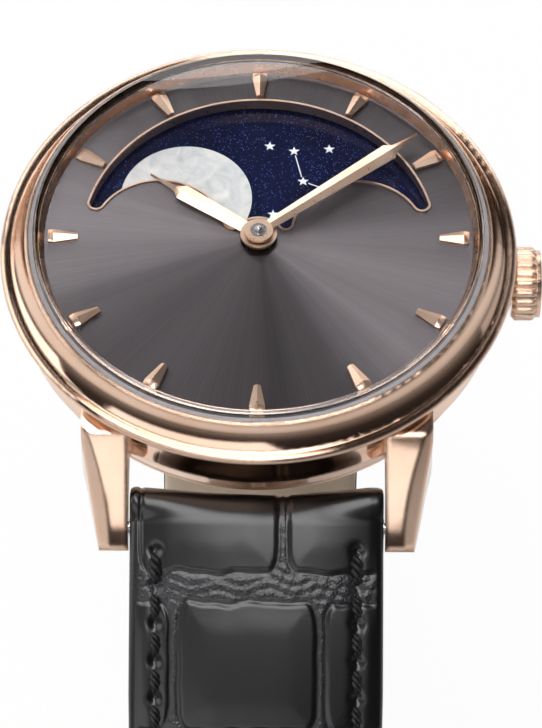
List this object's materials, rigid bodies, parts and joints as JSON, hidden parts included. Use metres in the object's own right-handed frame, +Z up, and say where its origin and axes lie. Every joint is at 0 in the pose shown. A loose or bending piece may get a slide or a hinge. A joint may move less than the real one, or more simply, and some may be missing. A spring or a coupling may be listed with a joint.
{
  "type": "moon phase wristwatch",
  "caption": "Round rose gold moon phase wristwatch with slate grey sunburst dial, faceted hands, fluted crown, see-through back and a curled leather strap with pin buckle.",
  "frame": {"origin": "on the rest plane, under the dial's centre, where the strap's tail lies", "axes": "+Z up through the dial, +X towards three o'clock and the crown, +Y towards twelve o'clock"},
  "size_m": [0.0401, 0.074, 0.0649],
  "materials": {
    "rose_gold_case": "polished rose gold plated steel",
    "rose_gold_trim": "polished and brushed rose gold plated brass",
    "sapphire": "clear domed mineral glass",
    "gasket": "black nitrile rubber",
    "flange": "rose gold plated, satin",
    "crystal_seal": "clear nylon seal",
    "brass_plain": "plain machined brass",
    "steel": "hardened polished steel",
    "spring_steel": "drawn spring steel",
    "dial_grey": "slate grey sunburst lacquer over radial brushing",
    "moon_disc": "deep blue aventurine glass with fine flecks",
    "moon_pearl": "cloudy mother-of-pearl inlay",
    "star_silver": "printed silver white stars",
    "brass_gear": "gilt brass wheels",
    "plate_nickel": "nickel plated, straight graining",
    "ruby": "synthetic ruby",
    "blued_steel": "heat blued steel",
    "strap_leather": "charcoal black alligator grained calf, semi gloss",
    "lining_leather": "natural beige smooth calf lining"
  },
  "bodies": {
    "case": {"case_middle": "rose_gold_case", "bezel": "rose_gold_case", "crystal": "sapphire", "crystal_gasket": "crystal_seal", "flange_ring": "flange", "caseback_ring": "rose_gold_case", "caseback_glass": "sapphire", "caseback_gasket": "gasket", "crown_tube": "steel", "movement_holder": "brass_plain", "case_clamps": "steel", "dial": "dial_grey", "hour_markers": "rose_gold_trim", "aperture_frame": "rose_gold_trim", "main_plate": "plate_nickel", "barrel_bridge": "plate_nickel", "train_bridge": "plate_nickel", "pallet_bridge": "plate_nickel", "balance_cock": "plate_nickel", "jewels": "ruby", "movement_screws": "blued_steel", "lug_spring_bars": "steel"},
    "minute_hand_body": {"minute_hand": "rose_gold_trim", "cannon_pinion": "steel"},
    "hour_hand_body": {"hour_hand": "rose_gold_trim", "hour_wheel": "brass_gear"},
    "minute_wheel_body": {"minute_wheel": "brass_gear"},
    "day_wheel_body": {"day_wheel": "brass_gear"},
    "moon_setting_body": {"moon_setting_wheel": "brass_gear"},
    "moon_body": {"moon_disc": "moon_disc", "moons": "moon_pearl", "stars": "star_silver", "moon_ring_gear": "brass_gear"},
    "centre_wheel_body": {"centre_wheel": "brass_gear"},
    "third_wheel_body": {"third_wheel": "brass_gear"},
    "fourth_wheel_body": {"fourth_wheel": "brass_gear"},
    "escape_wheel_body": {"escape_wheel": "steel"},
    "pallet_fork_body": {"pallet_fork": "steel"},
    "balance_body": {"balance_wheel": "brass_gear", "hairspring": "spring_steel"},
    "barrel_body": {"barrel": "brass_gear", "mainspring": "spring_steel"},
    "barrel_arbor_body": {"barrel_arbor": "steel", "ratchet_wheel": "steel"},
    "crown_wheel_body": {"crown_wheel": "steel"},
    "click_body": {"click": "steel"},
    "crown_slider": {"crown_gasket": "gasket"},
    "crown_body": {"crown": "rose_gold_case", "winding_stem": "steel"},
    "winding_pinion_body": {"winding_pinion": "steel", "clutch_wheel": "steel"},
    "strap_long": {"strap_long_upper": "strap_leather", "strap_long_lining": "lining_leather"},
    "strap_short": {"strap_short_upper": "strap_leather", "strap_short_lining": "lining_leather", "fixed_keeper": "strap_leather", "buckle_spring_bar": "steel"},
    "free_keeper_body": {"free_keeper": "strap_leather"},
    "buckle": {"buckle_frame": "rose_gold_case"},
    "tongue": {"buckle_tongue": "rose_gold_case"}
  },
  "joints": [
    {"name": "minute_turn", "type": "hinge", "parent": "case", "child": "minute_hand_body", "pos_m": [0, 0, 0.06357], "axis": [0, 0, -1], "continuous": true},
    {"name": "hour_turn", "type": "hinge", "parent": "case", "child": "hour_hand_body", "pos_m": [0, 0, 0.06317], "axis": [0, 0, -1], "continuous": true},
    {"name": "minute_wheel_turn", "type": "hinge", "parent": "case", "child": "minute_wheel_body", "pos_m": [0.00251, -0.00145, 0.06057], "axis": [0, 0, -1], "continuous": true},
    {"name": "day_wheel_turn", "type": "hinge", "parent": "case", "child": "day_wheel_body", "pos_m": [-0.00533, -0.00447, 0.06082], "axis": [0, 0, -1], "continuous": true},
    {"name": "moon_setting_turn", "type": "hinge", "parent": "case", "child": "moon_setting_body", "pos_m": [-0.00962, -0.00189, 0.06077], "axis": [0, 0, -1], "continuous": true},
    {"name": "moon_turn", "type": "hinge", "parent": "case", "child": "moon_body", "pos_m": [0, 0, 0.06137], "axis": [0, 0, -1], "continuous": true},
    {"name": "centre_wheel_turn", "type": "hinge", "parent": "case", "child": "centre_wheel_body", "pos_m": [0, 0, 0.05837], "axis": [0, 0, -1], "continuous": true},
    {"name": "third_wheel_turn", "type": "hinge", "parent": "case", "child": "third_wheel_body", "pos_m": [-0.0057, 0.00153, 0.05767], "axis": [0, 0, -1], "continuous": true},
    {"name": "fourth_wheel_turn", "type": "hinge", "parent": "case", "child": "fourth_wheel_body", "pos_m": [-0.00486, -0.00325, 0.05777], "axis": [0, 0, -1], "continuous": true},
    {"name": "escape_wheel_turn", "type": "hinge", "parent": "case", "child": "escape_wheel_body", "pos_m": [-0.00337, -0.00734, 0.05827], "axis": [0, 0, -1], "continuous": true},
    {"name": "barrel_turn", "type": "hinge", "parent": "case", "child": "barrel_body", "pos_m": [0.00456, 0.00544, 0.05767], "axis": [0, 0, -1], "continuous": true},
    {"name": "pallet_fork_swing", "type": "hinge", "parent": "case", "child": "pallet_fork_body", "pos_m": [-0.00048, -0.00759, 0.05827], "axis": [0, 0, -1], "range_deg": [-6, 6]},
    {"name": "balance_swing", "type": "hinge", "parent": "case", "child": "balance_body", "pos_m": [0.00341, -0.00725, 0.05767], "axis": [0, 0, -1], "range_deg": [-270, 270]},
    {"name": "barrel_arbor_turn", "type": "hinge", "parent": "case", "child": "barrel_arbor_body", "pos_m": [0.00456, 0.00544, 0.05617], "axis": [0, 0, -1], "continuous": true},
    {"name": "crown_wheel_turn", "type": "hinge", "parent": "case", "child": "crown_wheel_body", "pos_m": [0.01073, 0.00257, 0.05577], "axis": [0, 0, -1], "continuous": true},
    {"name": "click_swing", "type": "hinge", "parent": "case", "child": "click_body", "pos_m": [0.00233, 0.00964, 0.05577], "axis": [0, 0, -1], "range_deg": [-8, 2]},
    {"name": "crown_pull", "type": "slide", "parent": "case", "child": "crown_slider", "axis": [1, 0, 0], "range_m": [0, 0.0012]},
    {"name": "crown_turn", "type": "hinge", "parent": "crown_slider", "child": "crown_body", "pos_m": [0.0185, 0, 0.05757], "axis": [1, 0, 0], "continuous": true},
    {"name": "winding_pinion_turn", "type": "hinge", "parent": "case", "child": "winding_pinion_body", "pos_m": [0.0115, 0, 0.05757], "axis": [1, 0, 0], "continuous": true},
    {"name": "strap_long_hinge", "type": "hinge", "parent": "case", "child": "strap_long", "pos_m": [0, -0.0199, 0.05477], "axis": [-1, 0, 0], "range_deg": [0, 60]},
    {"name": "strap_short_hinge", "type": "hinge", "parent": "case", "child": "strap_short", "pos_m": [0, 0.0199, 0.05477], "axis": [1, 0, 0], "range_deg": [0, 36]},
    {"name": "free_keeper_slide", "type": "slide", "parent": "strap_short", "child": "free_keeper_body", "axis": [0, -1, 0], "range_m": [0, 0.006]},
    {"name": "buckle_turn", "type": "hinge", "parent": "strap_short", "child": "buckle", "pos_m": [0, -0.01904, 0.014], "axis": [1, 0, 0], "range_deg": [-75, 25]},
    {"name": "tongue_turn", "type": "hinge", "parent": "buckle", "child": "tongue", "pos_m": [0, -0.01904, 0.014], "axis": [1, 0, 0], "range_deg": [0, 60]}
  ],
  "couplings": [
    {"joint": "hour_turn", "follows": "minute_turn", "ratio": 0.083333},
    {"joint": "minute_wheel_turn", "follows": "minute_turn", "ratio": -0.33333},
    {"joint": "day_wheel_turn", "follows": "minute_turn", "ratio": -0.041667},
    {"joint": "moon_setting_turn", "follows": "minute_turn", "ratio": 0.0046296},
    {"joint": "moon_turn", "follows": "minute_turn", "ratio": 0.00070547},
    {"joint": "third_wheel_turn", "follows": "fourth_wheel_turn", "ratio": -0.13333},
    {"joint": "centre_wheel_turn", "follows": "fourth_wheel_turn", "ratio": 0.016667},
    {"joint": "escape_wheel_turn", "follows": "fourth_wheel_turn", "ratio": -10},
    {"joint": "barrel_turn", "follows": "fourth_wheel_turn", "ratio": -0.002381},
    {"joint": "winding_pinion_turn", "follows": "crown_turn", "ratio": 1},
    {"joint": "crown_wheel_turn", "follows": "crown_turn", "ratio": 0.5},
    {"joint": "barrel_arbor_turn", "follows": "crown_turn", "ratio": -0.3125},
    {"joint": "strap_short_hinge", "follows": "strap_long_hinge", "ratio": 0.6}
  ]
}
